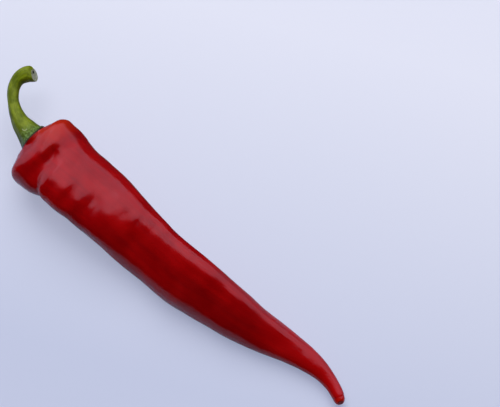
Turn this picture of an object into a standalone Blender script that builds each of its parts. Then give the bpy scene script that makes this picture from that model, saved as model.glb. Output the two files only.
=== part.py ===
"""Cayenne pepper: one long red pod lying on its side, with its green stem and calyx.

Metres, +Z up. The pod points along +X, stem end first, and rests on Z = 0.
The origin is the middle of the underside of the whole pepper's box.
"""

import math

import bmesh
import bpy
from mathutils import Vector

MM = 0.001
UP = Vector((0.0, 0.0, 1.0))

# Driving dimensions, in millimetres
POD_LENGTH = 150.0
SHOULDER_WIDTH = 31.0
CALYX_RADIUS = 6.1
CALYX_MIDDLE = Vector((-63.9, -1.6, 15.4))
CALYX_GAP = 0.35             # between the calyx and the hollow that it sits in
RESTING_TRIM = 0.35          # how far the soft underside is pressed flat where it rests

# The pod's stations, from the shoulder to the tip:
# share of the length, sideways shift in mm, height of the middle in mm,
# share of the shoulder width, height over width
POD_STATIONS = [
    (0.000, 0.0, 15.4, 0.50, 1.00),
    (0.008, -0.1, 15.2, 0.60, 0.98),
    (0.020, -0.2, 14.9, 0.73, 0.96),
    (0.037, -0.4, 14.4, 0.86, 0.95),
    (0.060, -0.7, 13.8, 0.935, 0.94),
    (0.087, -1.1, 13.5, 0.935, 0.94),
    (0.113, -1.4, 13.3, 0.90, 0.94),
    (0.147, -1.6, 13.2, 0.87, 0.95),
    (0.200, -1.4, 13.1, 0.86, 0.95),
    (0.253, -1.2, 12.8, 0.825, 0.95),
    (0.313, -1.6, 12.1, 0.785, 0.95),
    (0.373, -2.1, 11.3, 0.735, 0.95),
    (0.433, -2.1, 10.5, 0.70, 0.95),
    (0.507, -2.0, 10.3, 0.71, 0.94),
    (0.560, -1.3, 9.9, 0.68, 0.94),
    (0.613, -0.3, 9.2, 0.63, 0.94),
    (0.667, 0.6, 8.4, 0.58, 0.94),
    (0.720, 1.9, 7.3, 0.51, 0.94),
    (0.773, 3.6, 6.4, 0.435, 0.95),
    (0.820, 5.1, 5.5, 0.36, 0.96),
    (0.867, 6.1, 4.9, 0.29, 0.97),
    (0.913, 6.2, 4.4, 0.225, 0.98),
    (0.953, 5.1, 4.1, 0.172, 0.98),
    (0.983, 3.6, 4.1, 0.14, 0.98),
    (0.997, 2.7, 4.1, 0.09, 0.98),
]

# Swellings and hollows of the skin: place along the pod in mm, angle in degrees,
# height in mm, reach along in mm, reach around in degrees.
# Angles run from straight up (0) over the -Y side (90) to the underside (180).
SWELLINGS = [
    (7.0, 105.0, 3.4, 6.0, 38.0),        # near lobe of the shoulder
    (5.5, -75.0, 1.7, 4.5, 40.0),        # far lobe of the shoulder
    (18.5, 85.0, -1.1, 4.0, 40.0),       # furrow behind the near lobe
    (14.0, 25.0, -0.7, 4.0, 30.0),       # the same furrow, fading over the top
]

# Three seed chambers give the pod three soft ridges, which turn slowly along it
RIDGE_COUNT = 3
RIDGE_HEIGHT = 0.03          # share of the radius
RIDGE_AT_SHOULDER = 40.0     # degrees from straight up, at the shoulder
RIDGE_AT_MIDDLE = -20.0      # degrees from straight up, from the middle onwards

# The hollow at the stem end, from its floor to its lip:
# place along the pod in mm, radius in mm
HOLLOW = [
    (1.40, CALYX_RADIUS * 0.4),
    (1.30, CALYX_RADIUS - 0.6),
    (0.80, CALYX_RADIUS + 0.45),
    (-0.15, CALYX_RADIUS + 0.6),
    (-0.30, CALYX_RADIUS + 1.3),
]

# The calyx's underside, which sits in the hollow: place along the pod in mm, radius in mm
CALYX_UNDERSIDE = [
    (1.40 - CALYX_GAP, CALYX_RADIUS * 0.4),
    (1.20 - CALYX_GAP, CALYX_RADIUS - 0.9),
    (0.70 - CALYX_GAP, CALYX_RADIUS),
    (-0.30, CALYX_RADIUS + 0.1),
]

# The calyx and stem's route, in mm from the calyx's middle: along, sideways, up, radius
STEM_ROUTE = [
    (-1.8, 0.3, 0.2, 5.2),
    (-3.9, 0.7, 0.6, 4.4),
    (-7.3, 1.3, 1.0, 3.4),
    (-10.8, 2.7, 1.3, 2.65),
    (-14.0, 4.6, 1.5, 2.15),
    (-16.7, 6.9, 1.7, 2.1),
    (-18.8, 9.8, 1.8, 2.25),
    (-19.5, 12.9, 1.9, 2.55),
    (-18.9, 15.7, 1.9, 3.0),
    (-17.4, 17.4, 1.9, 3.1),
    (-16.1, 18.3, 1.9, 3.1),
    (-15.7, 18.6, 1.9, 2.8),
]
# The way that the slanting cut at the stem's end faces
STEM_CUT = Vector((0.39, 0.88, 0.28))

POD_SIDES = 20
STEM_SIDES = 12
CAGE_OUTSET = 1.012          # a subdivided cage shrinks by about this much

POD_RED = (0.42, 0.004, 0.004, 1.0)
STEM_GREEN = (0.15, 0.21, 0.035, 1.0)


def station_value(share, column):
    """One column of the pod's stations at any share of its length, on a smooth curve."""
    last = len(POD_STATIONS) - 1
    low = max(i for i in range(last) if i == 0 or POD_STATIONS[i][0] <= share)
    high = low + 1
    span = POD_STATIONS[high][0] - POD_STATIONS[low][0]

    def slope(i):
        before = POD_STATIONS[max(i - 1, 0)]
        after = POD_STATIONS[min(i + 1, last)]
        return (after[column] - before[column]) / (after[0] - before[0])

    t = min(max((share - POD_STATIONS[low][0]) / span, 0.0), 1.0)
    start = POD_STATIONS[low][column]
    end = POD_STATIONS[high][column]
    return ((2 * t**3 - 3 * t**2 + 1) * start + (t**3 - 2 * t**2 + t) * span * slope(low)
            + (3 * t**2 - 2 * t**3) * end + (t**3 - t**2) * span * slope(high))


def spine_point(share):
    """Middle of the pod's section, in mm."""
    return Vector((CALYX_MIDDLE.x + share * POD_LENGTH,
                   CALYX_MIDDLE.y + station_value(share, 1),
                   station_value(share, 2)))


def directions(ahead):
    """Two directions square to the way ahead: level towards -Y, and upwards."""
    across = ahead.cross(UP).normalized()
    return across, across.cross(ahead).normalized()


def spine_directions(share):
    step = 0.02
    ahead = spine_point(min(share + step, 1.0)) - spine_point(max(share - step, 0.0))
    return directions(ahead)


def swelling(along, angle):
    total = 0.0
    for middle, direction, height, reach, spread in SWELLINGS:
        turn = (angle - direction + 180.0) % 360.0 - 180.0
        total += height * math.exp(-((along - middle) / reach) ** 2 - (turn / spread) ** 2)
    return total


def ridge_angle(share):
    t = min(max((share - 0.1) / 0.3, 0.0), 1.0)
    return RIDGE_AT_SHOULDER + (RIDGE_AT_MIDDLE - RIDGE_AT_SHOULDER) * t * t * (3 - 2 * t)


def pod_section(share):
    """Points of one section of the pod, in mm."""
    middle = spine_point(share)
    across, upwards = spine_directions(share)
    width_share = station_value(share, 3)
    half_width = width_share * SHOULDER_WIDTH / 2
    half_height = half_width * station_value(share, 4)
    ridge_height = RIDGE_HEIGHT * min(1.0, (1.0 - share) / 0.3, share / 0.03)
    points = []
    for i in range(POD_SIDES):
        angle = 360.0 * i / POD_SIDES
        turn = math.radians(angle)
        wave = math.cos(RIDGE_COUNT * (turn - math.radians(ridge_angle(share))))
        bump = swelling(share * POD_LENGTH, angle) * width_share
        grow = (1 + ridge_height * wave) * CAGE_OUTSET
        points.append(middle + across * math.sin(turn) * (half_width * grow + bump)
                      + upwards * math.cos(turn) * (half_height * grow + bump))
    return points


def circle(middle, ahead, radius, sides):
    """Points of a circle square to the way ahead, starting at its top."""
    across, upwards = directions(ahead)
    points = []
    for i in range(sides):
        turn = 2 * math.pi * i / sides
        points.append(middle + (across * math.sin(turn) + upwards * math.cos(turn)) * radius)
    return points


def calyx_circles(rows, sides):
    """Circles around the pod's own line where it meets the calyx."""
    ahead = (spine_point(0.02) - spine_point(0.0)).normalized()
    return [circle(CALYX_MIDDLE + ahead * along, ahead, radius, sides) for along, radius in rows]


def loft(name, sections, colour, roughness):
    """One closed solid through a row of sections with the same number of points."""
    bm = bmesh.new()
    verts = bmesh.ops.create_circle(bm, segments=len(sections[0]))["verts"]
    edges = bm.edges[:]
    first_edges = edges
    for number, section in enumerate(sections):
        if number:
            made = bmesh.ops.extrude_edge_only(bm, edges=edges)["geom"]
            new_verts = {item for item in made if isinstance(item, bmesh.types.BMVert)}
            edges = [item for item in made if isinstance(item, bmesh.types.BMEdge)]
            verts = [next(edge.other_vert(vert) for edge in vert.link_edges
                          if edge.other_vert(vert) in new_verts) for vert in verts]
        for vert, point in zip(verts, section):
            vert.co = point * MM
    bmesh.ops.edgeloop_fill(bm, edges=first_edges)
    bmesh.ops.edgeloop_fill(bm, edges=edges)
    bmesh.ops.recalc_face_normals(bm, faces=bm.faces)

    mesh = bpy.data.meshes.new(name)
    bm.to_mesh(mesh)
    bm.free()
    mesh.shade_smooth()
    solid = bpy.data.objects.new(name, mesh)
    subdivision = solid.modifiers.new("Soft form", 'SUBSURF')
    subdivision.levels = 1
    subdivision.render_levels = 1

    material = bpy.data.materials.new(name)
    material.use_nodes = True
    surface = material.node_tree.nodes["Principled BSDF"]
    surface.inputs["Base Color"].default_value = colour
    surface.inputs["Roughness"].default_value = roughness
    surface.inputs["Metallic"].default_value = 0.0
    mesh.materials.append(material)
    return solid


def make_pod():
    """The red pod, hollowed at the stem end for the calyx."""
    sections = calyx_circles(HOLLOW, POD_SIDES)
    sections += [pod_section(station[0]) for station in POD_STATIONS]
    return loft("pod", sections, POD_RED, 0.2)


def make_stem():
    """The green calyx and the hooked stem, grown as one piece."""
    sections = calyx_circles(CALYX_UNDERSIDE, STEM_SIDES)
    route = [CALYX_MIDDLE + Vector(row[:3]) for row in STEM_ROUTE]
    last = len(route) - 1
    for i, row in enumerate(STEM_ROUTE):
        if i < last - 1:
            ahead = route[max(i - 1, 0)] - route[i + 1]
        else:
            ahead = -STEM_CUT
        sections.append(circle(route[i], ahead, row[3], STEM_SIDES))
    return loft("stem_with_calyx", sections, STEM_GREEN, 0.5)


def press_flat(pod, cutters):
    """Trims the pod level with the ground where it rests."""
    block = 0.3
    bpy.ops.mesh.primitive_cube_add(size=block, location=(0, 0, -block / 2))
    cutter = bpy.context.object
    cutter.name = "ground_cutter"
    for collection in cutter.users_collection:
        collection.objects.unlink(cutter)
    cutters.objects.link(cutter)
    cutter.hide_render = True
    cutter.display_type = 'WIRE'
    trim = pod.modifiers.new("Resting patches", 'BOOLEAN')
    trim.operation = 'DIFFERENCE'
    trim.object = cutter


def main():
    for old in list(bpy.data.objects):
        bpy.data.objects.remove(old)
    pepper = bpy.data.collections.new("cayenne_pepper")
    cutters = bpy.data.collections.new("cutters")
    bpy.context.scene.collection.children.link(pepper)
    bpy.context.scene.collection.children.link(cutters)
    pod = make_pod()
    stem = make_stem()
    for piece in (pod, stem):
        piece.location.z = -RESTING_TRIM * MM
        pepper.objects.link(piece)
    press_flat(pod, cutters)


main()
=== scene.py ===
# Looks of the cayenne pepper: a glossy red pod with its hooked green stem,
# lying on a pale floor under a large soft window light.

import math

import bmesh
import bpy
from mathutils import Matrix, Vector, noise


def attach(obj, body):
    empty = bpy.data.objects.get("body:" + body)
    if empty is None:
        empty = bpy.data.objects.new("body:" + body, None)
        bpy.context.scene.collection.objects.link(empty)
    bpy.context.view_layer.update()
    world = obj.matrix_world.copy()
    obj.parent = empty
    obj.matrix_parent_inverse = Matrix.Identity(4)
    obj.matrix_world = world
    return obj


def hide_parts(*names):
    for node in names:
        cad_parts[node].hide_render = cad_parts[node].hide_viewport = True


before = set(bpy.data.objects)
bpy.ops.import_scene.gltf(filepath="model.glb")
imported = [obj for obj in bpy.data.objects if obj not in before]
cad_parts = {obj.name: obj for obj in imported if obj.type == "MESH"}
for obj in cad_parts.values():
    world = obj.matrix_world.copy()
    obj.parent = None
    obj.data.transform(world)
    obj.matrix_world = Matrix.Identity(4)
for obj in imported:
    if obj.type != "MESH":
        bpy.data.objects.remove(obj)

mm = 0.001
up = Vector((0, 0, 1))
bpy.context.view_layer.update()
print("frame loaded:", ", ".join(sorted(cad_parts)))

# The pod points along +X. Angles round it are degrees from straight up, and grow towards -Y,
# which is called the near side. "Along" is mm from its shoulder, and "share" is that over its length.


# Small helpers

def linearColour(hexCode):
    channels = [int(hexCode[i:i + 2], 16) / 255 for i in (1, 3, 5)]
    linear = [c / 12.92 if c <= 0.04045 else ((c + 0.055) / 1.055) ** 2.4 for c in channels]
    return (*linear, 1.0)


def addNode(tree, kind, settings):
    # a setting is one of the node's own options, a ramp's stops, or the value, hex colour or link of an input
    node = tree.nodes.new(kind)
    for name, value in settings.items():
        if name == "stops":
            for i, (place, colour) in enumerate(value):
                stop = node.color_ramp.elements[i] if i < 2 else node.color_ramp.elements.new(place)
                stop.position = place
                stop.color = linearColour(colour)
        elif isinstance(name, str) and hasattr(node, name):
            setattr(node, name, value)
        elif isinstance(value, bpy.types.NodeSocket):
            tree.links.new(value, node.inputs[name])
        else:
            node.inputs[name].default_value = linearColour(value) if isinstance(value, str) else value
    return node


def newMaterial(name):
    material = bpy.data.materials.new(name)
    material.use_nodes = True
    material.node_tree.nodes.clear()
    return material, material.node_tree


def smoothStep(low, high, value):
    t = min(max((value - low) / (high - low), 0), 1)
    return t * t * (3 - 2 * t)


def angleBetween(angle, direction):
    # shortest turn in degrees
    return (angle - direction + 180) % 360 - 180


def curveValue(rows, place, column):
    # one column of a table at any place in its first column, on a smooth curve
    last = len(rows) - 1
    low = max(i for i in range(last) if i == 0 or rows[i][0] <= place)
    high = low + 1
    span = rows[high][0] - rows[low][0]

    def slope(i):
        before, after = rows[max(i - 1, 0)], rows[min(i + 1, last)]
        return (after[column] - before[column]) / (after[0] - before[0])

    t = min(max((place - rows[low][0]) / span, 0), 1)
    return ((2 * t**3 - 3 * t**2 + 1) * rows[low][column] + (t**3 - 2 * t**2 + t) * span * slope(low)
            + (3 * t**2 - 2 * t**3) * rows[high][column] + (t**3 - t**2) * span * slope(high))


def crossways(ahead):
    # two directions square to the way ahead: level towards -Y, and upwards
    across = ahead.cross(up).normalized()
    return across, across.cross(ahead).normalized()


# Pod

pod = {
    "length": 150.0,             # mm from shoulder to tip
    "shoulderWidth": 31.0,       # mm
    "sides": 144,                # points in each ring of skin
    "ringGap": 0.6,              # mm between the rings
    "collar": 24.0,              # mm from the shoulder over which the rings lie closer
    "collarGap": 0.3,            # mm between them there
    "spineStep": 0.02,           # share of the length, on both sides, over which the spine's way is measured
    "rimAngle": 100.6,           # degrees: where the near side's outline lies, as the camera sees it
    "reachTurns": range(-60, 61, 3),         # degrees in which a section's farthest point is looked for
    "ridges": 3,                 # soft ridges, one for each seed chamber
    "waves": [(9.0, 0.17), (3.6, 0.06), (1.7, 0.012)],  # mm long and mm high: the skin's small chance waves
    "formEdge": 2.5,             # reaches from its middle where a form or a push ends
    "furrowMiddle": 75,          # degrees: the furrow's angles count up to half a turn on both sides of this
    "furrowEnd": 30.0,           # mm along where the furrow has ended
    "furrowWall": 1.4,           # 2 would make its walls soft as a bell, 1 a sharp crease
    "pressed": 0.35,             # mm that the underside is pressed flat
    "softness": 0.12,            # mm over which the pressed edge rounds off
    "tipRound": 2.3,             # mm at the end that are rounded
    "tipTurns": range(0, 86, 5),                       # degrees round that end, one for each of its rings
    "tipBluntness": 0.85,        # 1 would round the end as a ball, and less makes it blunter
    "scarRise": 0.9,             # mm from the end's middle up to the flower's dried scar
    "scarSetBack": 0.3,          # mm that it lies back for each mm up
    "scarLean": 0.5,             # how much its pit faces up for each part that it faces ahead
    "scarPit": (0.9, 0.35, 4),   # the pit's radius and depth in mm, and how steep its wall is
}
calyx = {
    "radius": 6.1,               # mm
    "middle": Vector((-63.9, -1.6, 15.4)),
    "scallopChance": 1.6,        # how strong the chance part of the rim's scallops is beside the even part
    "scallopNoise": (3.0, 7.0),  # how fine that part is, and where its noise is read
}

# share of the length, sideways shift in mm, height of the middle in mm,
# share of the shoulder width, height over width
podStations = [
    (0.000, 0.0, 15.4, 0.50, 1.00),
    (0.008, -0.1, 15.2, 0.60, 0.98),
    (0.020, -0.2, 14.9, 0.73, 0.96),
    (0.037, -0.4, 14.4, 0.86, 0.95),
    (0.060, -0.7, 13.8, 0.935, 0.94),
    (0.087, -1.1, 13.5, 0.935, 0.94),
    (0.113, -1.15, 13.3, 0.885, 0.94),
    (0.140, -1.05, 13.2, 0.837, 0.96),
    (0.170, -1.0, 13.2, 0.842, 0.96),
    (0.206, -0.8, 13.1, 0.829, 0.97),
    (0.253, -0.85, 12.8, 0.818, 0.96),
    (0.313, -1.4, 12.1, 0.781, 0.95),
    (0.373, -1.85, 11.3, 0.761, 0.93),
    (0.433, -1.95, 10.5, 0.726, 0.92),
    (0.507, -1.85, 10.3, 0.732, 0.92),
    (0.560, -1.07, 9.9, 0.698, 0.92),
    (0.613, -0.15, 9.2, 0.64, 0.93),
    (0.667, 0.72, 8.4, 0.588, 0.93),
    (0.720, 1.9, 7.3, 0.51, 0.94),
    (0.773, 3.6, 6.4, 0.435, 0.95),
    (0.820, 5.1, 5.5, 0.36, 0.96),
    (0.867, 6.1, 4.9, 0.29, 0.97),
    (0.913, 6.2, 4.4, 0.225, 0.98),
    (0.953, 5.1, 4.1, 0.172, 0.98),
    (0.980, 3.6, 4.1, 0.148, 0.98),
    (1.000, 1.9, 4.1, 0.10, 0.98),
]

# how the section is flattened and ridged: share of the length, share of the width that the flat way loses,
# the angle that the flat face looks to, the angle of one ridge, height of the ridges as a share of the radius
podSections = [
    (0.00, 0.08, 0, 60, 0.02),
    (0.03, 0.15, 0, 62, 0.05),
    (0.06, 0.19, -4, 62, 0.05),
    (0.115, 0.28, -28, 56, 0.045),
    (0.17, 0.28, -30, 55, 0.045),
    (0.24, 0.20, -14, 58, 0.04),
    (0.285, 0.11, 4, 66, 0.045),
    (0.33, 0.14, 22, 78, 0.055),
    (0.38, 0.26, 36, 86, 0.07),
    (0.505, 0.38, 48, 84, 0.06),
    (0.60, 0.40, 48, 84, 0.06),
    (0.69, 0.30, 46, 84, 0.055),
    (0.785, 0.17, 24, 76, 0.04),
    (0.88, 0.08, 6, 70, 0.04),
    (1.00, 0.00, 10, 80, 0.0),
]

# swellings and dents of the skin: mm along, angle, height in mm, reach along in mm, reach around in degrees
podForms = [
    (6.2, 105, 1.9, 4.5, 34),        # near lobe of the shoulder
    (0.8, 100, 0.8, 2.2, 34),        # its blunt back
    (2.6, 74, 1.7, 3.2, 26),         # the blunt back of the collar beside it
    (2.8, -78, 2.2, 3.2, 40),        # far lobe
    (1.6, 18, -1.0, 2.8, 34),        # the collar's back, lower beside the calyx
    (7.8, 15, 1.0, 3.4, 38),         # its swollen lip on top
    (30.2, 74, -0.3, 2.4, 30),       # wrinkles across the near side
    (27.0, 32, -0.9, 2.0, 22),       # their ends, which cut into the light on the top
    (30.6, 46, 0.45, 2.2, 20),
    (35.4, 21, -1.05, 2.8, 28),
    (41.5, 30, 0.15, 3.0, 20),
    (46.6, -10, -0.4, 1.9, 18),
    (52.0, -16, -0.4, 1.7, 16),
    (57.5, -24, -0.3, 1.6, 14),
    (38.0, 64, 0.4, 20.0, 12),       # the near edge, squarer than the rest
    (88.0, -31, 0.34, 32.0, 14),     # a soft ridge along the far side
    (80.0, -13, -0.22, 20.0, 5),     # a faint groove beside it
]

# the furrow behind the collar: angle, mm along, depth in mm, and its reach in mm towards the collar
# and away from it
podFurrow = [
    (-34, 10.0, 0.0, 2.2, 3.5),
    (-18, 10.2, 0.15, 2.4, 3.5),
    (-8, 11.2, 0.9, 2.8, 3.6),
    (8, 13.0, 1.3, 4.2, 3.2),
    (25, 13.2, 1.5, 4.4, 2.8),
    (42, 13.9, 1.6, 4.2, 1.6),
    (60, 16.2, 1.6, 4.0, 1.3),
    (82, 18.8, 1.5, 3.4, 1.9),
    (120, 19.4, 1.3, 3.4, 3.2),
    (160, 18.0, 0.4, 3.2, 3.0),
    (190, 18.0, 0.0, 3.2, 3.0),
]

# pushes of the skin towards the stem: mm along, angle, push in mm, reach along in mm, reach around in degrees
podPushes = [
    (0.0, 0, -0.8, 3.0, 400),        # the lip, pushed back all round
    (0.6, 90, -0.8, 3.2, 52),        # and more on both sides
    (0.6, -82, -0.4, 2.6, 48),
    (1.8, -78, 0.6, 1.1, 44),        # the far shoulder's blunt back, pushed out
]

# the hollow that the calyx sits in, from its floor up to the lip: mm from the calyx's middle along the pod,
# mm that its radius is more than the calyx's own
podHollow = [
    (1.4, -3.66),
    (1.3, -0.6),
    (0.8, 0.45),
    (0.3, 0.5),
    (-0.15, 0.55),
    (-0.3, 0.8),
]


def spinePoint(share):
    return Vector((calyx["middle"].x + share * pod["length"],
                   calyx["middle"].y + curveValue(podStations, share, 1),
                   curveValue(podStations, share, 2)))


def spineWay(share):
    return spinePoint(min(share + pod["spineStep"], 1)) - spinePoint(max(share - pod["spineStep"], 0))


def sectionRadius(section, angle):
    # a flattened round with soft ridges, about 1 in size
    flatness, flatAngle, ridgeAngle, ridgeHeight = section
    turn = math.radians(angle - flatAngle)
    wave = math.cos(pod["ridges"] * math.radians(angle - ridgeAngle))
    return (1 + ridgeHeight * wave) / math.hypot(math.cos(turn) / (1 - flatness), math.sin(turn))


def sectionReach(section, angle):
    # how far the section reaches in one direction, and so where its outline or its underside lies
    return max(sectionRadius(section, angle + turn) * math.cos(math.radians(turn))
               for turn in pod["reachTurns"])


def formHeight(forms, along, angle):
    total = 0
    for place, direction, height, reach, spread in forms:
        away = abs(along - place)
        if away < pod["formEdge"] * reach:
            turn = angleBetween(angle, direction)
            total += height * math.exp(-(away / reach) ** 2 - (turn / spread) ** 2)
    return total


def furrowDepth(along, angle):
    turn = angleBetween(angle, pod["furrowMiddle"]) + pod["furrowMiddle"]
    place, depth, before, after = (curveValue(podFurrow, turn, column) for column in (1, 2, 3, 4))
    away = (along - place) / (before if along < place else after)
    return max(depth, 0) * math.exp(-abs(away) ** pod["furrowWall"])


def ringAround(middle, ahead, radii):
    # a ring of points square to the way ahead, from the top round by the near side
    across, upwards = crossways(ahead)
    points = []
    for i, radius in enumerate(radii):
        turn = 2 * math.pi * i / len(radii)
        points.append(middle + (across * math.sin(turn) + upwards * math.cos(turn)) * radius)
    return points


def roughness(waves, along, radius, angle):
    # height in mm of a skin's small chance waves, each given by its length and its height
    turn = math.radians(angle)
    place = Vector((along, radius * math.sin(turn), radius * math.cos(turn)))
    return sum(height * noise.noise(place / length) for length, height in waves)


def podRing(share):
    # one ring of skin, in mm
    along = share * pod["length"]
    middle = spinePoint(share)
    ahead = spineWay(share)
    across, upwards = crossways(ahead)
    halfWidth = curveValue(podStations, share, 3) * pod["shoulderWidth"] / 2
    halfHeight = halfWidth * curveValue(podStations, share, 4)
    # however the section twists, its two sides and its underside stay where they are
    section = [curveValue(podSections, share, column) for column in (1, 2, 3, 4)]
    nearReach, farReach = (sectionReach(section, pod["rimAngle"] + turn) for turn in (0, 180))
    size = 2 * halfWidth / (nearReach + farReach)
    middle += across * size * (farReach - nearReach) / 2
    middle += upwards * (size * sectionReach(section, 180) - halfHeight)
    radii = []
    for i in range(pod["sides"]):
        angle = 360 * i / pod["sides"]
        radius = size * sectionRadius(section, angle) + formHeight(podForms, along, angle)
        if along < pod["furrowEnd"]:
            radius -= furrowDepth(along, angle)
        radii.append(radius + roughness(pod["waves"], along, radius, angle))
    return ringAround(middle, ahead, radii)


def tipRing(turn):
    # the rounded end, from where its side is straight (0 degrees) to its pole (90)
    start = 1 - pod["tipRound"] / pod["length"]
    share = start + (1 - start) * math.sin(math.radians(turn))
    ahead = spinePoint(1) - spinePoint(start)
    halfWidth = curveValue(podStations, start, 3) * pod["shoulderWidth"] / 2
    radius = halfWidth * math.cos(math.radians(turn)) ** pod["tipBluntness"]
    return ringAround(spinePoint(share), ahead, [radius] * pod["sides"])


def loftRings(rings, alongs):
    # pulls a circle of points through each ring in turn. Each point also keeps its straightened place in mm
    # (along, level, up), which patterns on the skin follow
    bm = bmesh.new()
    straight = bm.verts.layers.float_vector.new("straightPlace")
    points = bmesh.ops.create_circle(bm, segments=len(rings[0]))["verts"]
    edges = bm.edges[:]
    firstEdges = edges
    for number, (ring, along) in enumerate(zip(rings, alongs)):
        if number:
            made = bmesh.ops.extrude_edge_only(bm, edges=edges)["geom"]
            fresh = {item for item in made if isinstance(item, bmesh.types.BMVert)}
            edges = [item for item in made if isinstance(item, bmesh.types.BMEdge)]
            points = [next(edge.other_vert(point) for edge in point.link_edges
                           if edge.other_vert(point) in fresh) for point in points]
        middle = sum(ring, Vector()) / len(ring)
        for i, (point, place) in enumerate(zip(points, ring)):
            turn = 2 * math.pi * i / len(ring)
            radius = (place - middle).length
            point.co = place * mm
            point[straight] = (along, radius * math.sin(turn), radius * math.cos(turn))
    bmesh.ops.edgeloop_fill(bm, edges=firstEdges)
    bmesh.ops.edgeloop_fill(bm, edges=edges)
    return bm


def pushAlong(bm):
    # moves the skin about the calyx along the pod
    ahead = spineWay(0).normalized()
    straight = bm.verts.layers.float_vector["straightPlace"]
    for point in bm.verts:
        along, level, high = point[straight]
        point.co -= ahead * formHeight(podPushes, along, math.degrees(math.atan2(level, high))) * mm


def finishPiece(name, bm, material, node):
    bmesh.ops.recalc_face_normals(bm, faces=bm.faces)
    if bm.calc_volume(signed=True) < 0:
        bmesh.ops.reverse_faces(bm, faces=bm.faces)
    mesh = bpy.data.meshes.new(name)
    bm.to_mesh(mesh)
    bm.free()
    mesh.shade_smooth()
    mesh.materials.append(material)
    piece = bpy.data.objects.new(name, mesh)
    bpy.context.scene.collection.objects.link(piece)
    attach(piece, "root")
    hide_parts(node)
    print(name, "made,", len(mesh.polygons), "faces")


ripeSkin = {
    "flesh": [(0.36, "#9a0003"), (0.64, "#ae0204")],   # its darker and lighter patches
    "patchSize": 9.0,            # mm
    "streak": "#860006",
    "streakSize": (30.0, 2.2),   # mm long, mm wide
    "streakNoise": (0.4, 0.7),   # the noise's values between which a streak sets in
    "streakStrength": 0.5,
    "flush": "#c02a0a",          # orange on the shoulder
    "flushAlong": (11.0, 3.0),   # mm along between which it sets in, towards the calyx
    "flushAcross": (3.0, -6.0),  # mm across between which it sets in, from the near side to the far one
    "flushStrength": 0.7,
    "tail": "#c40808",           # brighter red on the tail
    "tailAlong": (105.0, 150.0),           # mm along between which it sets in
    "tailStrength": 0.7,
    "tipFlush": "#c83410",       # painted highlight: orange about the scar
    "tipHighlightAway": (2.8, 1.6),  # mm from the scar's middle between which it sets in
    "tipFlushStrength": 0.2,
    "scar": "#560810",           # a dull dark ring
    "scarRadius": 0.85,          # mm from the scar's middle to the middle of that ring
    "scarOffRing": (0.5, 0.1),   # mm off the ring's middle between which its colour sets in
    "scarStrength": 0.65,        # of its colour, and the ring's roughness
    "roughness": (0.13, 0.24),   # lowest and highest, from patch to patch
    "roughnessNoise": (0.3, 0.7),          # the noise's values for those two
    "speckleSize": 1.1,          # mm
    "speckleHeight": 0.07,       # mm
    "speckleStrength": 0.5,      # share of that height which shows
    "ior": 1.45,
    "specular": 0.3,             # less than the usual 0.5: the shine is clean but weak
}


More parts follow.
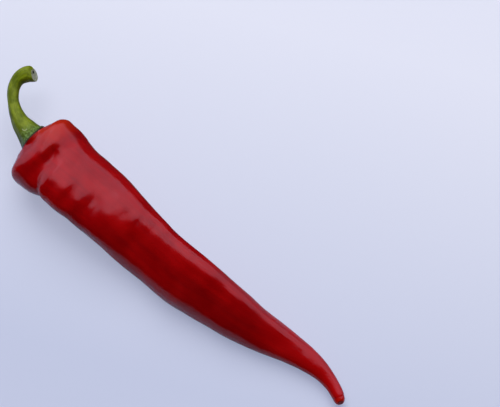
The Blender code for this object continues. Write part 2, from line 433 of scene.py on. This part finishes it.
def ripeSkinMaterial(scarMiddle):
    # ripe capsicum skin, as grown: a thin waxy cuticle over red flesh, so the colour is deep and the gloss
    # clean, with faint lengthwise streaks, an orange flush at the shoulder and a dark dried scar at the tip
    material, tree = newMaterial("ripe_pod_skin")
    straight = addNode(tree, "ShaderNodeAttribute", {"attribute_name": "straightPlace"}).outputs["Vector"]
    place = addNode(tree, "ShaderNodeTexCoord", {}).outputs["Object"]
    axes = addNode(tree, "ShaderNodeSeparateXYZ", {0: straight})
    patches = addNode(tree, "ShaderNodeTexNoise", {
        "Vector": place, "Scale": 1 / (ripeSkin["patchSize"] * mm), "Detail": 3})
    speckle = addNode(tree, "ShaderNodeTexNoise", {
        "Vector": place, "Scale": 1 / (ripeSkin["speckleSize"] * mm), "Detail": 3})
    long, wide = ripeSkin["streakSize"]
    stretched = addNode(tree, "ShaderNodeMapping", {
        "Vector": straight, "Scale": (1 / long, 1 / wide, 1 / wide)})
    streaks = addNode(tree, "ShaderNodeTexNoise", {"Vector": stretched.outputs[0], "Scale": 1.0, "Detail": 3})
    flesh = addNode(tree, "ShaderNodeValToRGB", {"stops": ripeSkin["flesh"], 0: patches.outputs[0]})
    streaked = addNode(tree, "ShaderNodeMapRange", {
        "Value": streaks.outputs[0], "From Min": ripeSkin["streakNoise"][0],
        "From Max": ripeSkin["streakNoise"][1], "To Max": ripeSkin["streakStrength"]})
    lined = addNode(tree, "ShaderNodeMix", {
        "data_type": 'RGBA', 0: streaked.outputs[0], 6: flesh.outputs[0], 7: ripeSkin["streak"]})

    # the shoulder's and the tail's own colours
    farSide = addNode(tree, "ShaderNodeMapRange", {
        "Value": axes.outputs["Y"], "From Min": ripeSkin["flushAcross"][0],
        "From Max": ripeSkin["flushAcross"][1], "To Max": ripeSkin["flushStrength"]})
    flush = addNode(tree, "ShaderNodeMapRange", {
        "Value": axes.outputs["X"], "From Min": ripeSkin["flushAlong"][0],
        "From Max": ripeSkin["flushAlong"][1], "To Max": farSide.outputs[0]})
    shoulder = addNode(tree, "ShaderNodeMix", {
        "data_type": 'RGBA', 0: flush.outputs[0], 6: lined.outputs[2], 7: ripeSkin["flush"]})
    toTip = addNode(tree, "ShaderNodeMapRange", {
        "Value": axes.outputs["X"], "From Min": ripeSkin["tailAlong"][0],
        "From Max": ripeSkin["tailAlong"][1], "To Max": ripeSkin["tailStrength"]})
    tail = addNode(tree, "ShaderNodeMix", {
        "data_type": 'RGBA', 0: toTip.outputs[0], 6: shoulder.outputs[2], 7: ripeSkin["tail"]})

    # the flower's dried scar, and a painted orange highlight about it
    away = addNode(tree, "ShaderNodeVectorMath", {"operation": 'DISTANCE', 0: place, 1: scarMiddle})
    tipHighlightMask = addNode(tree, "ShaderNodeMapRange", {
        "Value": away.outputs["Value"], "From Min": ripeSkin["tipHighlightAway"][0] * mm,
        "From Max": ripeSkin["tipHighlightAway"][1] * mm, "To Max": ripeSkin["tipFlushStrength"]})
    tipHighlighted = addNode(tree, "ShaderNodeMix", {
        "data_type": 'RGBA', 0: tipHighlightMask.outputs[0], 6: tail.outputs[2], 7: ripeSkin["tipFlush"]})
    beyondRing = addNode(tree, "ShaderNodeMath", {
        "operation": 'SUBTRACT', 0: away.outputs["Value"], 1: ripeSkin["scarRadius"] * mm})
    offRing = addNode(tree, "ShaderNodeMath", {"operation": 'ABSOLUTE', 0: beyondRing.outputs[0]})
    scar = addNode(tree, "ShaderNodeMapRange", {
        "Value": offRing.outputs[0], "From Min": ripeSkin["scarOffRing"][0] * mm,
        "From Max": ripeSkin["scarOffRing"][1] * mm, "To Max": ripeSkin["scarStrength"]})
    scarred = addNode(tree, "ShaderNodeMix", {
        "data_type": 'RGBA', 0: scar.outputs[0], 6: tipHighlighted.outputs[2], 7: ripeSkin["scar"]})

    gloss = addNode(tree, "ShaderNodeMapRange", {
        "Value": patches.outputs[0], "From Min": ripeSkin["roughnessNoise"][0],
        "From Max": ripeSkin["roughnessNoise"][1], "To Min": ripeSkin["roughness"][0],
        "To Max": ripeSkin["roughness"][1]})
    dull = addNode(tree, "ShaderNodeMath", {"operation": 'MAXIMUM', 0: gloss.outputs[0], 1: scar.outputs[0]})
    bump = addNode(tree, "ShaderNodeBump", {
        "Strength": ripeSkin["speckleStrength"], "Distance": ripeSkin["speckleHeight"] * mm,
        "Height": speckle.outputs[0]})
    surface = addNode(tree, "ShaderNodeBsdfPrincipled", {
        "Base Color": scarred.outputs[2], "Roughness": dull.outputs[0], "Normal": bump.outputs[0],
        "IOR": ripeSkin["ior"], "Specular IOR Level": ripeSkin["specular"]})
    addNode(tree, "ShaderNodeOutputMaterial", {"Surface": surface.outputs[0]})
    return material


def makePod():
    ahead = spineWay(0).normalized()
    rings = []
    alongs = []
    for place, grow in podHollow:
        radii = [calyx["radius"] + grow] * pod["sides"]
        rings.append(ringAround(calyx["middle"] + ahead * place, ahead, radii))
        alongs.append(-place)
    along = 0
    while along < pod["length"] - pod["tipRound"]:
        rings.append(podRing(along / pod["length"]))
        alongs.append(along)
        along += pod["collarGap"] if along < pod["collar"] else pod["ringGap"]
    for turn in pod["tipTurns"]:
        rings.append(tipRing(turn))
        alongs.append(pod["length"] - pod["tipRound"] * (1 - math.sin(math.radians(turn))))
    bm = loftRings(rings, alongs)
    pushAlong(bm)

    # the pit left by the flower, sunk in the upper part of the end
    ahead = spineWay(1).normalized()
    scarMiddle = (spinePoint(1) + (up - ahead * pod["scarSetBack"]) * pod["scarRise"]) * mm
    radius, depth, steepness = pod["scarPit"]
    for point in bm.verts:
        near = (point.co - scarMiddle).length / mm / radius
        point.co -= (ahead + up * pod["scarLean"]) * depth * math.exp(-near ** steepness) * mm

    # the underside, pressed flat where it rests
    for point in bm.verts:
        height = point.co.z / mm - pod["pressed"]
        point.co.z = (height + math.hypot(height, pod["softness"])) / 2 * mm
    finishPiece("pod_skin", bm, ripeSkinMaterial(scarMiddle), "pod")


makePod()


# Stem and calyx

# the route, in mm from the calyx's middle: along, sideways, up, radius
stemRoute = [
    (-1.8, 0.3, 0.2, 5.1),
    (-3.9, 0.7, 0.6, 4.25),
    (-7.3, 1.3, 1.0, 3.4),
    (-10.8, 2.7, 1.3, 2.65),
    (-14.0, 4.6, 1.5, 2.15),
    (-16.7, 6.9, 1.7, 2.1),
    (-18.8, 9.8, 1.8, 2.25),
    (-19.5, 12.9, 1.9, 2.55),
    (-18.8, 15.6, 1.9, 2.95),
    (-17.8, 17.0, 1.9, 3.0),
    (-16.7, 17.5, 1.9, 2.7),
    (-15.9, 17.85, 1.9, 2.4),
]
stem = {
    "sides": 96,                 # points in each ring of skin
    "ringGap": 0.35,             # mm between the rings
    "routeStep": 0.5,            # mm, on both sides, over which the route's way is measured
    "ribs": 5,                   # soft ribs, which run down into the calyx
    "ribAngle": 28,              # degrees from straight up: where one of them lies
    "ribHeight": (0.2, 0.07),    # mm at the calyx and at the cut end
    "ribFade": 0.6,              # share of the stem over which the one turns into the other
    "waves": [(5.0, 0.16), (1.6, 0.05)],     # mm long and mm high: small chance waves
    "grain": (0.10, 10.0, 5.0),  # mm high, mm long, and how fine round the stem: lengthwise ridges
    "cutWay": Vector((0.64, 0.68, 0.33)),    # the way that the slanting cut faces
    "slant": 3.0,                # mm over which the rings lean into the cut
    "cutSpot": (1.2, 0.4, 0.42, 0.3),        # mm aside, mm up, mm wide, mm deep: a dark dried vessel
    "scar": (Vector((-3.2, 0.05, 4.4)), 0.8),          # mm from the calyx's middle, and radius: a crescent
}

# the calyx from its hidden underside round its rim to the stem: mm from the calyx's middle along the pod,
# mm that its radius is more than the calyx's own, mm that the rim's scallops stand out there
calyxRings = [
    (1.05, -3.7, 0.0),
    (0.85, -0.9, 0.0),
    (0.45, 0.05, 0.0),
    (0.05, 0.22, 0.05),
    (-0.25, 0.30, 0.12),
    (-0.5, 0.20, 0.14),
    (-0.8, -0.02, 0.08),
    (-1.25, -0.42, 0.03),
]

# the cut face from its edge to its middle: share of the stem's radius, mm that it is sunk there,
# mm that the ring counts as further along the stem than its edge
cutRings = [
    (0.96, 0.0, 0.2),
    (0.88, 0.06, 0.4),
    (0.72, 0.12, 0.6),
    (0.5, 0.16, 0.8),
    (0.28, 0.16, 1.0),
    (0.1, 0.14, 1.2),
]


def measuredRoute():
    # the route's rows with the distance along it in front
    rows = []
    for x, y, z, radius in stemRoute:
        distance = rows[-1][0] + (Vector((x, y, z)) - Vector(rows[-1][1:4])).length if rows else 0
        rows.append((distance, x, y, z, radius))
    return rows


def stemRing(rows, distance):
    length = rows[-1][0]
    places = (distance, max(distance - stem["routeStep"], 0), min(distance + stem["routeStep"], length))
    here, before, after = (Vector([curveValue(rows, place, column) for column in (1, 2, 3)])
                           for place in places)
    lean = smoothStep(length - stem["slant"], length, distance)
    way = (before - after).normalized().lerp(-stem["cutWay"], lean)
    calyxHeight, cutHeight = stem["ribHeight"]
    ribHeight = calyxHeight + (cutHeight - calyxHeight) * smoothStep(0, length * stem["ribFade"], distance)
    grainHeight, grainLength, fineness = stem["grain"]
    thick = curveValue(rows, distance, 4)
    radii = []
    for i in range(stem["sides"]):
        angle = 360 * i / stem["sides"]
        turn = math.radians(angle)
        rib = ribHeight * math.cos(stem["ribs"] * math.radians(angle - stem["ribAngle"]))
        grainPlace = Vector((distance / grainLength, fineness * math.sin(turn), fineness * math.cos(turn)))
        grain = grainHeight * noise.noise(grainPlace)
        radii.append(thick + rib + grain + roughness(stem["waves"], distance, thick, angle))
    return calyx["middle"] + here, way, radii


def makeStem():
    ahead = spineWay(0).normalized()
    rings = []
    alongs = []
    fineness, noisePlace = calyx["scallopNoise"]
    for place, grow, scallop in calyxRings:
        radii = []
        for i in range(stem["sides"]):
            turn = 2 * math.pi * i / stem["sides"]
            chance = noise.noise(Vector((fineness * math.sin(turn), fineness * math.cos(turn), noisePlace)))
            rib = math.cos(stem["ribs"] * (turn - math.radians(stem["ribAngle"])))
            radii.append(calyx["radius"] + grow + scallop * (rib + calyx["scallopChance"] * chance))
        rings.append(ringAround(calyx["middle"] + ahead * place, ahead, radii))
        alongs.append(-place)
    rows = measuredRoute()
    steps = math.ceil(rows[-1][0] / stem["ringGap"])
    for step in range(steps + 1):
        distance = rows[-1][0] * step / steps
        middle, way, radii = stemRing(rows, distance)
        rings.append(ringAround(middle, way, radii))
        alongs.append(distance - stemRoute[0][0])
    cutAlong = alongs[-1]
    for share, sunk, further in cutRings:
        rings.append(ringAround(middle - stem["cutWay"] * sunk, way, [radius * share for radius in radii]))
        alongs.append(cutAlong + further)
    bm = loftRings(rings, alongs)
    pushAlong(bm)
    bmesh.ops.translate(bm, verts=bm.verts, vec=(0, 0, -pod["pressed"] * mm))

    # the dried vessel's pit in the cut face
    aside, rise, width, depth = stem["cutSpot"]
    side = stem["cutWay"].cross(up).normalized()
    spot = (middle - side * aside + up * (rise - pod["pressed"])) * mm
    for point in bm.verts:
        near = (point.co - spot).length / mm / width
        point.co -= stem["cutWay"] * depth * math.exp(-near * near) * mm
    finishPiece("stem_skin", bm, greenStalkMaterial(cutAlong, spot), "stem_with_calyx")


greenStalk = {
    "body": [(0.38, "#748600"), (0.62, "#98a81a")],    # its darker and lighter patches
    "patchSize": 3.0,            # mm
    "fibreSize": (12.0, 0.55),   # mm long, mm wide
    "fibreStrength": 0.72,
    "grip": [(0.34, "#2f4312"), (0.48, "#4b6119"), (0.58, "#5f7d34"), (0.7, "#728e50")],   # the mottled calyx
    "mottleSize": 0.9,           # mm
    "gripAlong": (5.2, 1.6),     # mm from the calyx's middle between which that sets in
    "rim": "#2c1e0c",            # the calyx's dried edge, darkened further by painted shade in the groove against the pod
    "rimWhole": 0.75,            # mm from the calyx's middle up to which it is whole
    "rimEnd": (1.1, 3.1),        # mm from the calyx's middle where it ends: on top, and at both sides, where the painted shade of the groove reaches further
    "rimAcross": (4.6, 6.0),     # mm out from the top between which the one turns into the other
    "cutFace": [(0.35, "#949c78"), (0.65, "#c4c8ae")],
    "cutEdge": (-0.1, 0.12),     # mm along from the cut's edge between which its colour sets in
    "spot": "#1c1c14",           # the dried vessel
    "spotAway": (0.8, 0.5),      # mm from its middle between which that sets in
    "scar": "#bcc48a",           # a pale crescent
    "scarOffLine": (0.32, 0.1),  # mm off its line between which that sets in
    "scarStrength": 0.5,
    "scarWay": (0.66, -0.75, 0),           # the way from its middle to the crescent's own middle
    "scarHorns": 0.3,            # mm that way over which the crescent's ends fade in
    "mottleHeight": 0.1,         # mm
    "mottleStrength": 0.5,       # share of that height which shows
    "roughness": 0.38,
    "specular": 0.12,            # little shine, as on a dry stalk
}


def greenStalkMaterial(cutAlong, spot):
    # fresh green capsicum stalk, as grown and then cut: smooth skin with lengthwise fibres, darker and
    # mottled where the calyx grips the fruit, with painted shade along its edge, a dull pale cut face and a
    # small pale scar by the calyx
    material, tree = newMaterial("green_stalk")
    straight = addNode(tree, "ShaderNodeAttribute", {"attribute_name": "straightPlace"}).outputs["Vector"]
    place = addNode(tree, "ShaderNodeTexCoord", {}).outputs["Object"]
    axes = addNode(tree, "ShaderNodeSeparateXYZ", {0: straight})
    along = axes.outputs["X"]
    patches = addNode(tree, "ShaderNodeTexNoise", {
        "Vector": place, "Scale": 1 / (greenStalk["patchSize"] * mm), "Detail": 3})
    mottle = addNode(tree, "ShaderNodeTexNoise", {
        "Vector": place, "Scale": 1 / (greenStalk["mottleSize"] * mm), "Detail": 3})
    long, wide = greenStalk["fibreSize"]
    stretched = addNode(tree, "ShaderNodeMapping", {
        "Vector": straight, "Scale": (1 / long, 1 / wide, 1 / wide)})
    fibres = addNode(tree, "ShaderNodeTexNoise", {"Vector": stretched.outputs[0], "Scale": 1.0, "Detail": 2})
    body = addNode(tree, "ShaderNodeValToRGB", {"stops": greenStalk["body"], 0: patches.outputs[0]})
    grained = addNode(tree, "ShaderNodeMix", {
        "data_type": 'RGBA', "blend_type": 'MULTIPLY', 0: greenStalk["fibreStrength"],
        6: body.outputs[0], 7: fibres.outputs[0]})

    # the mottled calyx, and its dried edge with painted shade in the groove against the pod
    grip = addNode(tree, "ShaderNodeValToRGB", {"stops": greenStalk["grip"], 0: mottle.outputs[0]})
    nearRim = addNode(tree, "ShaderNodeMapRange", {
        "Value": along, "From Min": greenStalk["gripAlong"][0], "From Max": greenStalk["gripAlong"][1]})
    gripped = addNode(tree, "ShaderNodeMix", {
        "data_type": 'RGBA', 0: nearRim.outputs[0], 6: grained.outputs[2], 7: grip.outputs[0]})
    fromTop = addNode(tree, "ShaderNodeMath", {"operation": 'ABSOLUTE', 0: axes.outputs["Y"]})
    rimEnd = addNode(tree, "ShaderNodeMapRange", {
        "Value": fromTop.outputs[0], "From Min": greenStalk["rimAcross"][0],
        "From Max": greenStalk["rimAcross"][1], "To Min": greenStalk["rimEnd"][0],
        "To Max": greenStalk["rimEnd"][1]})
    rim = addNode(tree, "ShaderNodeMapRange", {
        "Value": along, "From Min": rimEnd.outputs[0], "From Max": greenStalk["rimWhole"]})
    driedAndShaded = addNode(tree, "ShaderNodeMix", {
        "data_type": 'RGBA', 0: rim.outputs[0], 6: gripped.outputs[2], 7: greenStalk["rim"]})

    # the cut face and its dried vessel
    face = addNode(tree, "ShaderNodeMapRange", {
        "Value": along, "From Min": cutAlong + greenStalk["cutEdge"][0],
        "From Max": cutAlong + greenStalk["cutEdge"][1]})
    pale = addNode(tree, "ShaderNodeValToRGB", {"stops": greenStalk["cutFace"], 0: mottle.outputs[0]})
    cut = addNode(tree, "ShaderNodeMix", {
        "data_type": 'RGBA', 0: face.outputs[0], 6: driedAndShaded.outputs[2], 7: pale.outputs[0]})
    away = addNode(tree, "ShaderNodeVectorMath", {"operation": 'DISTANCE', 0: place, 1: spot})
    inSpot = addNode(tree, "ShaderNodeMapRange", {
        "Value": away.outputs["Value"], "From Min": greenStalk["spotAway"][0] * mm,
        "From Max": greenStalk["spotAway"][1] * mm})
    spotted = addNode(tree, "ShaderNodeMix", {
        "data_type": 'RGBA', 0: inSpot.outputs[0], 6: cut.outputs[2], 7: greenStalk["spot"]})

    # the pale crescent on the upper side: one half of a thin ring
    scarMiddle, scarRadius = stem["scar"]
    fromScar = addNode(tree, "ShaderNodeVectorMath", {
        "operation": 'SUBTRACT', 0: place, 1: (calyx["middle"] + scarMiddle) * mm})
    scarAway = addNode(tree, "ShaderNodeVectorMath", {"operation": 'LENGTH', 0: fromScar.outputs[0]})
    beyondLine = addNode(tree, "ShaderNodeMath", {
        "operation": 'SUBTRACT', 0: scarAway.outputs["Value"], 1: scarRadius * mm})
    offLine = addNode(tree, "ShaderNodeMath", {"operation": 'ABSOLUTE', 0: beyondLine.outputs[0]})
    onLine = addNode(tree, "ShaderNodeMapRange", {
        "Value": offLine.outputs[0], "From Min": greenStalk["scarOffLine"][0] * mm,
        "From Max": greenStalk["scarOffLine"][1] * mm, "To Max": greenStalk["scarStrength"]})
    towards = addNode(tree, "ShaderNodeVectorMath", {
        "operation": 'DOT_PRODUCT', 0: fromScar.outputs[0], 1: greenStalk["scarWay"]})
    crescent = addNode(tree, "ShaderNodeMapRange", {
        "Value": towards.outputs["Value"], "From Max": greenStalk["scarHorns"] * mm,
        "To Max": onLine.outputs[0]})
    marked = addNode(tree, "ShaderNodeMix", {
        "data_type": 'RGBA', 0: crescent.outputs[0], 6: spotted.outputs[2], 7: greenStalk["scar"]})

    bump = addNode(tree, "ShaderNodeBump", {
        "Strength": greenStalk["mottleStrength"], "Distance": greenStalk["mottleHeight"] * mm,
        "Height": mottle.outputs[0]})
    surface = addNode(tree, "ShaderNodeBsdfPrincipled", {
        "Base Color": marked.outputs[2], "Normal": bump.outputs[0],
        "Roughness": greenStalk["roughness"], "Specular IOR Level": greenStalk["specular"]})
    addNode(tree, "ShaderNodeOutputMaterial", {"Surface": surface.outputs[0]})
    return material


makeStem()


# Floor, light and camera

floor = {
    "size": 3.0,                 # m across
    "drop": 0.00005,             # m below the pod, so the two faces don't meet
    "paper": "#a2a2a4",
    "paintedGlow": ("#8c94b0", "#b5b7c6"),        # painted light: the paper glows to the camera, away from the window and near it
    "paintedGlowWay": (-0.42, 0.9, 0),            # the way to the window
    "paintedGlowReach": (-0.045, 0.1),            # m that way between which the one turns into the other
    "paintedReflection": ("#dce0f9", "#583236"),     # painted reflection that the skin's gloss mirrors: pale, and painted shade behind the shoulder
    "paintedShadeAlong": (0.05, 0.01),             # m along X between which the painted shade sets in
    "darkAcross": (0.0, 0.02),             # m along Y, the same
    "roughness": 0.9,
}


def paperMaterial():
    # matte white paper, so it has no shine. The skin's gloss mirrors a painted reflection in place of the
    # paper's colours, pale with painted shade behind the shoulder, because one white sheet would leave the
    # pod's far side too light. To the camera the paper also glows with painted light
    material, tree = newMaterial("matte_paper")
    ray = addNode(tree, "ShaderNodeLightPath", {})
    place = addNode(tree, "ShaderNodeTexCoord", {}).outputs["Object"]
    axes = addNode(tree, "ShaderNodeSeparateXYZ", {0: place})
    # painted shade in the gloss: darker behind the shoulder on the far side
    paintedShadeAlong = addNode(tree, "ShaderNodeMapRange", {
        "Value": axes.outputs["X"], "From Min": floor["paintedShadeAlong"][0], "From Max": floor["paintedShadeAlong"][1]})
    dark = addNode(tree, "ShaderNodeMapRange", {
        "Value": axes.outputs["Y"], "From Min": floor["darkAcross"][0], "From Max": floor["darkAcross"][1],
        "To Max": paintedShadeAlong.outputs[0]})
    paintedReflection = addNode(tree, "ShaderNodeMix", {
        "data_type": 'RGBA', 0: dark.outputs[0], 6: floor["paintedReflection"][0], 7: floor["paintedReflection"][1]})
    seen = addNode(tree, "ShaderNodeMix", {
        "data_type": 'RGBA', 0: ray.outputs["Is Glossy Ray"], 6: floor["paper"], 7: paintedReflection.outputs[2]})
    # painted light: the paper glows to the camera alone, lighter towards the window, which also lightens the
    # shadows on it
    toWindow = addNode(tree, "ShaderNodeVectorMath", {
        "operation": 'DOT_PRODUCT', 0: place, 1: floor["paintedGlowWay"]})
    nearness = addNode(tree, "ShaderNodeMapRange", {
        "Value": toWindow.outputs["Value"], "From Min": floor["paintedGlowReach"][0],
        "From Max": floor["paintedGlowReach"][1]})
    paintedGlow = addNode(tree, "ShaderNodeMix", {
        "data_type": 'RGBA', 0: nearness.outputs[0], 6: floor["paintedGlow"][0], 7: floor["paintedGlow"][1]})
    surface = addNode(tree, "ShaderNodeBsdfPrincipled", {
        "Base Color": seen.outputs[2], "Emission Color": paintedGlow.outputs[2],
        "Emission Strength": ray.outputs["Is Camera Ray"],
        "Roughness": floor["roughness"], "Specular IOR Level": 0.0})
    addNode(tree, "ShaderNodeOutputMaterial", {"Surface": surface.outputs[0]})
    return material


def makeFloor():
    bm = bmesh.new()
    bmesh.ops.create_grid(bm, x_segments=1, y_segments=1, size=floor["size"] / 2)
    bmesh.ops.translate(bm, verts=bm.verts, vec=(0, 0, -floor["drop"]))
    mesh = bpy.data.meshes.new("paper_floor")
    bm.to_mesh(mesh)
    bm.free()
    mesh.materials.append(paperMaterial())
    sheet = bpy.data.objects.new("paper_floor", mesh)
    bpy.context.scene.collection.objects.link(sheet)


makeFloor()

# each light: place in m, the way it faces, width and height in m, radiance, tint,
# and whether it shows in the gloss or lights the colour
lights = {
    "window": {
        "place": (-0.4, 0.64, 0.77), "facing": (0, -0.64, -0.77), "size": (1.6, 1.9),
        "radiance": 2.05, "tint": "#ecdfff", "seenIn": "gloss"},
    "right window": {
        "place": (0.65, 0.87, 0.58), "facing": (0, -0.64, -0.77), "size": (0.5, 1.3),
        "radiance": 2.05, "tint": "#ecdfff", "seenIn": "gloss"},
    "left window": {
        "place": (-1.2, 0.0, 0.6), "facing": (1, 0, 0), "size": (1.9, 1.2),
        "radiance": 1.8, "tint": "#ecdfff", "seenIn": "gloss"},
    "key": {
        "place": (-0.5, 0.55, 1.25), "facing": (0.5, -0.55, -1.25), "size": (1.4, 1.4),
        "radiance": 4.1, "tint": "#eef1ff", "seenIn": "colour"},
}
world = {
    "fill": 0.14,                # light from the rest of the room
    "backdrop": "#d6daea",
}


def makeLights():
    for name, light in lights.items():
        width, height = light["size"]
        lamp = bpy.data.lights.new(name, 'AREA')
        lamp.shape = 'RECTANGLE'
        lamp.size, lamp.size_y = light["size"]
        lamp.energy = light["radiance"] * math.pi * width * height     # watts for that radiance
        lamp.color = linearColour(light["tint"])[:3]
        lampObject = bpy.data.objects.new(name, lamp)
        lampObject.location = light["place"]
        lampObject.rotation_euler = Vector(light["facing"]).to_track_quat('-Z', 'Y').to_euler()
        lampObject.visible_camera = False
        lampObject.visible_diffuse = light["seenIn"] == "colour"
        lampObject.visible_glossy = light["seenIn"] == "gloss"
        bpy.context.scene.collection.objects.link(lampObject)


def makeWorld():
    # pale to the camera, dim to the surfaces, dark in the gloss as the rest of the room was
    room = bpy.data.worlds.new("room")
    room.use_nodes = True
    tree = room.node_tree
    tree.nodes.clear()
    ray = addNode(tree, "ShaderNodeLightPath", {})
    fill = addNode(tree, "ShaderNodeMath", {
        "operation": 'MULTIPLY', 0: ray.outputs["Is Diffuse Ray"], 1: world["fill"]})
    strength = addNode(tree, "ShaderNodeMath", {
        "operation": 'ADD', 0: ray.outputs["Is Camera Ray"], 1: fill.outputs[0]})
    background = addNode(tree, "ShaderNodeBackground", {
        "Color": world["backdrop"], "Strength": strength.outputs[0]})
    addNode(tree, "ShaderNodeOutputWorld", {"Surface": background.outputs[0]})
    bpy.context.scene.world = room
    bpy.context.scene.view_settings.view_transform = 'Standard'


makeLights()
makeWorld()
print("floor, lights and world made")

camera = {
    "elevation": 76.0,           # degrees above the floor
    "azimuth": 41.3,             # degrees; 0 looks along +Y
    "lens": 85.0,                # mm
    "sensor": 36.0,              # mm across
    "distance": 0.4498,          # m
    "lookAt": Vector((0.01114, 0.03564, 0.0)),         # m
}


def makeCamera():
    rise, turn = math.radians(camera["elevation"]), math.radians(camera["azimuth"])
    back = Vector((math.sin(turn) * math.cos(rise), -math.cos(turn) * math.cos(rise), math.sin(rise)))
    data = bpy.data.cameras.new("camera")
    data.lens = camera["lens"]
    data.sensor_width = camera["sensor"]
    eye = bpy.data.objects.new("camera", data)
    eye.location = camera["lookAt"] + back * camera["distance"]
    eye.rotation_euler = (math.pi / 2 - rise, 0, turn)
    bpy.context.scene.collection.objects.link(eye)
    bpy.context.scene.camera = eye


makeCamera()
